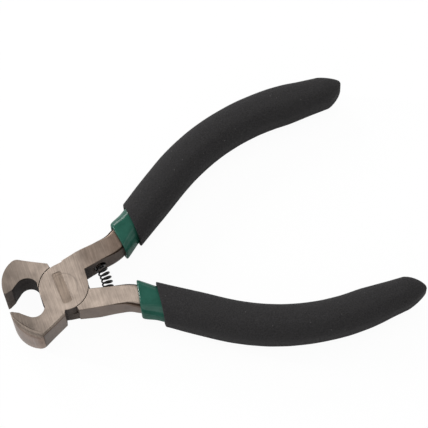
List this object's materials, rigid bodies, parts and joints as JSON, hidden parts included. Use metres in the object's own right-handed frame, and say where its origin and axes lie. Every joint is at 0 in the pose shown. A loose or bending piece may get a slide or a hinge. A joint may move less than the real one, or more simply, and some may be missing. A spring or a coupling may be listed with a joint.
{
  "type": "end-cutting nippers",
  "caption": "Mini end-cutting nippers with lapped steel jaws on a flush rivet, a coil return spring, dipped vinyl sleeves and bowed foam grips.",
  "frame": {"origin": "on the pivot axis, at the back face of the joint", "axes": "+X from the pivot towards the handles along the tool's mid-line, +Y towards the front half's handle, +Z along the pivot axis towards the front face"},
  "size_m": [0.1108, 0.0768, 0.0131],
  "materials": {
    "tool_steel": "satin, warm nickel tone",
    "spring_steel": "black oxide wire",
    "green_vinyl": "glossy dipped vinyl",
    "black_foam": "matt closed-cell foam"
  },
  "bodies": {
    "rear": {"rear_half": "tool_steel", "rear_sleeve": "green_vinyl", "rear_grip": "black_foam", "return_spring": "spring_steel"},
    "front": {"front_half": "tool_steel", "pivot_rivet": "tool_steel", "front_sleeve": "green_vinyl", "front_grip": "black_foam"}
  },
  "joints": [
    {"name": "pivot", "type": "hinge", "parent": "rear", "child": "front", "pos_m": [0, 0, 0], "axis": [0, 0, -1], "range_deg": [-5, 20.3], "stiffness_Nm_per_rad": 0.51, "deforming": ["return_spring"]}
  ]
}
